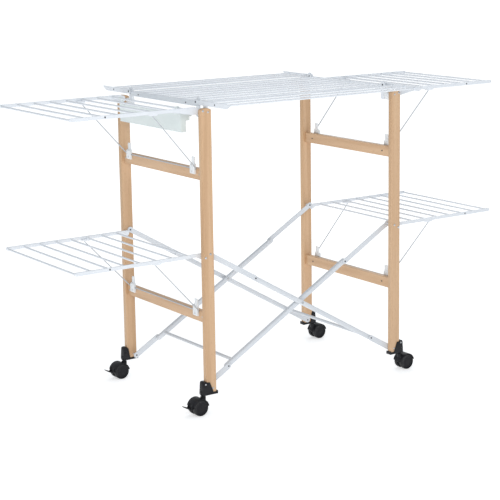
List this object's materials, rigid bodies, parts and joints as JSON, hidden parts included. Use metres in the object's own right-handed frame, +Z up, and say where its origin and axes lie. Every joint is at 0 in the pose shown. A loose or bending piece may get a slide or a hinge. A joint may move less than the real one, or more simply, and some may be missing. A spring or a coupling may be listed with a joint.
{
  "type": "clothes drying rack",
  "caption": "Rolling winged drying rack: wooden end frames on casters, folding white wings and flaps, lifting top, crossing struts and a peg tray.",
  "frame": {"origin": "on the floor, midway between the four posts; the front flap reaches 15 mm further out than the back one, so the middle of the bounding box is 8 mm nearer the front", "axes": "+X from the end frame with the brake levers and the tray to the other one, +Y from front to back, +Z up"},
  "size_m": [1.8324, 0.8518, 1.097],
  "materials": {
    "crossbar_upper_left": "clear lacquered beech",
    "wing_upper_left": "white powder coat",
    "prop_upper_left": "white powder coat",
    "catch_upper_left_front": "moulded white plastic",
    "catch_upper_left_back": "moulded white plastic",
    "crossbar_lower_left": "clear lacquered beech",
    "wing_lower_left": "white powder coat",
    "prop_lower_left": "white powder coat",
    "catch_lower_left_front": "moulded white plastic",
    "catch_lower_left_back": "moulded white plastic",
    "post_left_front": "clear lacquered beech",
    "foot_bracket_left_front": "moulded black plastic",
    "caster_body_left_front": "moulded black plastic",
    "wheels_left_front": "moulded black plastic",
    "top_bracket_left_front": "moulded white plastic",
    "post_left_back": "clear lacquered beech",
    "foot_bracket_left_back": "moulded black plastic",
    "caster_body_left_back": "moulded black plastic",
    "wheels_left_back": "moulded black plastic",
    "top_bracket_left_back": "moulded white plastic",
    "crossbar_upper_right": "clear lacquered beech",
    "wing_upper_right": "white powder coat",
    "prop_upper_right": "white powder coat",
    "catch_upper_right_front": "moulded white plastic",
    "catch_upper_right_back": "moulded white plastic",
    "crossbar_lower_right": "clear lacquered beech",
    "wing_lower_right": "white powder coat",
    "prop_lower_right": "white powder coat",
    "catch_lower_right_front": "moulded white plastic",
    "catch_lower_right_back": "moulded white plastic",
    "post_right_front": "clear lacquered beech",
    "foot_bracket_right_front": "moulded black plastic",
    "caster_body_right_front": "moulded black plastic",
    "wheels_right_front": "moulded black plastic",
    "top_bracket_right_front": "moulded white plastic",
    "post_right_back": "clear lacquered beech",
    "foot_bracket_right_back": "moulded black plastic",
    "caster_body_right_back": "moulded black plastic",
    "wheels_right_back": "moulded black plastic",
    "top_bracket_right_back": "moulded white plastic",
    "brake_lever_front": "moulded black plastic",
    "top_flap_front": "white powder coat",
    "crossing_pin_front": "zinc plated",
    "link_a_front": "white powder coat",
    "foot_link_a_front": "white powder coat",
    "link_b_front": "white powder coat",
    "foot_link_b_front": "white powder coat",
    "brake_lever_back": "moulded black plastic",
    "top_flap_back": "white powder coat",
    "crossing_pin_back": "zinc plated",
    "link_a_back": "white powder coat",
    "foot_link_a_back": "white powder coat",
    "link_b_back": "white powder coat",
    "foot_link_b_back": "white powder coat",
    "tube_a": "white powder coat",
    "tube_b": "white powder coat",
    "top_centre": "white powder coat",
    "peg_tray": "moulded white plastic"
  },
  "bodies": {
    "left_frame": {"post_left_front": "post_left_front", "post_left_back": "post_left_back", "crossbar_upper_left": "crossbar_upper_left", "crossbar_lower_left": "crossbar_lower_left", "catch_upper_left_front": "catch_upper_left_front", "catch_upper_left_back": "catch_upper_left_back", "catch_lower_left_front": "catch_lower_left_front", "catch_lower_left_back": "catch_lower_left_back", "top_bracket_left_front": "top_bracket_left_front", "top_bracket_left_back": "top_bracket_left_back", "foot_bracket_left_front": "foot_bracket_left_front", "foot_bracket_left_back": "foot_bracket_left_back"},
    "right_frame": {"post_right_front": "post_right_front", "post_right_back": "post_right_back", "crossbar_upper_right": "crossbar_upper_right", "crossbar_lower_right": "crossbar_lower_right", "catch_upper_right_front": "catch_upper_right_front", "catch_upper_right_back": "catch_upper_right_back", "catch_lower_right_front": "catch_lower_right_front", "catch_lower_right_back": "catch_lower_right_back", "top_bracket_right_front": "top_bracket_right_front", "top_bracket_right_back": "top_bracket_right_back", "foot_bracket_right_front": "foot_bracket_right_front", "foot_bracket_right_back": "foot_bracket_right_back"},
    "top_centre": {"top_centre": "top_centre"},
    "top_flap_front": {"top_flap_front": "top_flap_front"},
    "top_flap_back": {"top_flap_back": "top_flap_back"},
    "crossing": {"crossing_pin_front": "crossing_pin_front", "crossing_pin_back": "crossing_pin_back"},
    "tube_a": {"tube_a": "tube_a"},
    "link_a": {"link_a_front": "link_a_front", "link_a_back": "link_a_back"},
    "foot_link_a": {"foot_link_a_front": "foot_link_a_front", "foot_link_a_back": "foot_link_a_back"},
    "tube_b": {"tube_b": "tube_b"},
    "link_b": {"link_b_front": "link_b_front", "link_b_back": "link_b_back"},
    "foot_link_b": {"foot_link_b_front": "foot_link_b_front", "foot_link_b_back": "foot_link_b_back"},
    "wing_upper_left": {"wing_upper_left": "wing_upper_left", "peg_tray": "peg_tray"},
    "prop_upper_left": {"prop_upper_left": "prop_upper_left"},
    "wing_lower_left": {"wing_lower_left": "wing_lower_left"},
    "prop_lower_left": {"prop_lower_left": "prop_lower_left"},
    "caster_left_front": {"caster_body_left_front": "caster_body_left_front"},
    "wheels_left_front": {"wheels_left_front": "wheels_left_front"},
    "caster_left_back": {"caster_body_left_back": "caster_body_left_back"},
    "wheels_left_back": {"wheels_left_back": "wheels_left_back"},
    "wing_upper_right": {"wing_upper_right": "wing_upper_right"},
    "prop_upper_right": {"prop_upper_right": "prop_upper_right"},
    "wing_lower_right": {"wing_lower_right": "wing_lower_right"},
    "prop_lower_right": {"prop_lower_right": "prop_lower_right"},
    "caster_right_front": {"caster_body_right_front": "caster_body_right_front"},
    "wheels_right_front": {"wheels_right_front": "wheels_right_front"},
    "caster_right_back": {"caster_body_right_back": "caster_body_right_back"},
    "wheels_right_back": {"wheels_right_back": "wheels_right_back"},
    "brake_lever_front": {"brake_lever_front": "brake_lever_front"},
    "brake_lever_back": {"brake_lever_back": "brake_lever_back"}
  },
  "joints": [
    {"name": "frame_fold", "type": "slide", "parent": "left_frame", "child": "right_frame", "axis": [-1, 0, 0], "range_m": [0, 0.737]},
    {"name": "crossing_slide", "type": "slide", "parent": "left_frame", "child": "crossing", "axis": [-0.8484, 0, 0.5294], "range_m": [0, 0.435]},
    {"name": "tube_a_turn", "type": "hinge", "parent": "crossing", "child": "tube_a", "pos_m": [0, 0, 0.32475], "axis": [0, 1, 0], "range_deg": [0, 58.2]},
    {"name": "link_a_turn", "type": "hinge", "parent": "left_frame", "child": "link_a", "pos_m": [-0.409, 0, 0.564], "axis": [0, -1, 0], "range_deg": [0, 112]},
    {"name": "foot_link_a_turn", "type": "hinge", "parent": "right_frame", "child": "foot_link_a", "pos_m": [0.409, 0, 0.0855], "axis": [0, 1, 0], "range_deg": [0, 43.2]},
    {"name": "tube_b_turn", "type": "hinge", "parent": "crossing", "child": "tube_b", "pos_m": [0, 0, 0.32475], "axis": [0, -1, 0], "range_deg": [0, 58.2]},
    {"name": "link_b_turn", "type": "hinge", "parent": "right_frame", "child": "link_b", "pos_m": [0.409, 0, 0.564], "axis": [0, 1, 0], "range_deg": [0, 112]},
    {"name": "foot_link_b_turn", "type": "hinge", "parent": "left_frame", "child": "foot_link_b", "pos_m": [-0.409, 0, 0.0855], "axis": [0, -1, 0], "range_deg": [0, 43.2]},
    {"name": "top_lift", "type": "hinge", "parent": "left_frame", "child": "top_centre", "pos_m": [-0.4055, 0, 1.082], "axis": [0, -1, 0], "range_deg": [0, 90.1]},
    {"name": "top_flap_front_fold", "type": "hinge", "parent": "top_centre", "child": "top_flap_front", "pos_m": [0, -0.2205, 1.082], "axis": [-1, 0, 0], "range_deg": [0, 170]},
    {"name": "top_flap_back_fold", "type": "hinge", "parent": "top_centre", "child": "top_flap_back", "pos_m": [0, 0.2303, 1.082], "axis": [1, 0, 0], "range_deg": [0, 170]},
    {"name": "wing_upper_left_fold", "type": "hinge", "parent": "left_frame", "child": "wing_upper_left", "pos_m": [-0.428, 0, 1.057], "axis": [0, -1, 0], "range_deg": [0, 90]},
    {"name": "prop_upper_left_swing", "type": "hinge", "parent": "left_frame", "child": "prop_upper_left", "pos_m": [-0.4273, 0, 0.8545], "axis": [0, -1, 0], "range_deg": [0, 138.2]},
    {"name": "wing_lower_left_fold", "type": "hinge", "parent": "left_frame", "child": "wing_lower_left", "pos_m": [-0.428, 0, 0.553], "axis": [0, -1, 0], "range_deg": [0, 90]},
    {"name": "prop_lower_left_swing", "type": "hinge", "parent": "left_frame", "child": "prop_lower_left", "pos_m": [-0.4273, 0, 0.3555], "axis": [0, -1, 0], "range_deg": [0, 136.6]},
    {"name": "swivel_left_front", "type": "hinge", "parent": "left_frame", "child": "caster_left_front", "pos_m": [-0.445, -0.274, 0.0662], "axis": [0, 0, 1], "continuous": true},
    {"name": "wheel_left_front_spin", "type": "hinge", "parent": "caster_left_front", "child": "wheels_left_front", "pos_m": [-0.466, -0.274, 0.0285], "axis": [0, 1, 0], "continuous": true},
    {"name": "swivel_left_back", "type": "hinge", "parent": "left_frame", "child": "caster_left_back", "pos_m": [-0.445, 0.274, 0.0662], "axis": [0, 0, 1], "continuous": true},
    {"name": "wheel_left_back_spin", "type": "hinge", "parent": "caster_left_back", "child": "wheels_left_back", "pos_m": [-0.466, 0.274, 0.0285], "axis": [0, 1, 0], "continuous": true},
    {"name": "wing_upper_right_fold", "type": "hinge", "parent": "right_frame", "child": "wing_upper_right", "pos_m": [0.428, 0, 1.057], "axis": [0, 1, 0], "range_deg": [0, 90]},
    {"name": "prop_upper_right_swing", "type": "hinge", "parent": "right_frame", "child": "prop_upper_right", "pos_m": [0.4273, 0, 0.8545], "axis": [0, 1, 0], "range_deg": [0, 138.2]},
    {"name": "wing_lower_right_fold", "type": "hinge", "parent": "right_frame", "child": "wing_lower_right", "pos_m": [0.428, 0, 0.553], "axis": [0, 1, 0], "range_deg": [0, 90]},
    {"name": "prop_lower_right_swing", "type": "hinge", "parent": "right_frame", "child": "prop_lower_right", "pos_m": [0.4273, 0, 0.3555], "axis": [0, 1, 0], "range_deg": [0, 136.6]},
    {"name": "swivel_right_front", "type": "hinge", "parent": "right_frame", "child": "caster_right_front", "pos_m": [0.445, -0.274, 0.0662], "axis": [0, 0, 1], "continuous": true},
    {"name": "wheel_right_front_spin", "type": "hinge", "parent": "caster_right_front", "child": "wheels_right_front", "pos_m": [0.466, -0.274, 0.0285], "axis": [0, 1, 0], "continuous": true},
    {"name": "swivel_right_back", "type": "hinge", "parent": "right_frame", "child": "caster_right_back", "pos_m": [0.445, 0.274, 0.0662], "axis": [0, 0, 1], "continuous": true},
    {"name": "wheel_right_back_spin", "type": "hinge", "parent": "caster_right_back", "child": "wheels_right_back", "pos_m": [0.466, 0.274, 0.0285], "axis": [0, 1, 0], "continuous": true},
    {"name": "brake_front_press", "type": "hinge", "parent": "caster_left_front", "child": "brake_lever_front", "pos_m": [-0.5, -0.274, 0.0285], "axis": [0, -1, 0], "range_deg": [0, 16]},
    {"name": "brake_back_press", "type": "hinge", "parent": "caster_left_back", "child": "brake_lever_back", "pos_m": [-0.5, 0.274, 0.0285], "axis": [0, -1, 0], "range_deg": [0, 16]}
  ],
  "couplings": [
    {"joint": "crossing_slide", "follows": "frame_fold", "ratio": 0.58936},
    {"joint": "tube_a_turn", "follows": "frame_fold", "rad_per_m": 1.3776},
    {"joint": "link_a_turn", "follows": "frame_fold", "rad_per_m": 2.6501},
    {"joint": "foot_link_a_turn", "follows": "frame_fold", "rad_per_m": 1.0224},
    {"joint": "tube_b_turn", "follows": "frame_fold", "rad_per_m": 1.3776},
    {"joint": "link_b_turn", "follows": "frame_fold", "rad_per_m": 2.6501},
    {"joint": "foot_link_b_turn", "follows": "frame_fold", "rad_per_m": 1.0224},
    {"joint": "top_lift", "follows": "frame_fold", "rad_per_m": 2.1313},
    {"joint": "prop_upper_left_swing", "follows": "wing_upper_left_fold", "ratio": 1.5353},
    {"joint": "prop_lower_left_swing", "follows": "wing_lower_left_fold", "ratio": 1.5174},
    {"joint": "prop_upper_right_swing", "follows": "wing_upper_right_fold", "ratio": 1.5353},
    {"joint": "prop_lower_right_swing", "follows": "wing_lower_right_fold", "ratio": 1.5174}
  ]
}
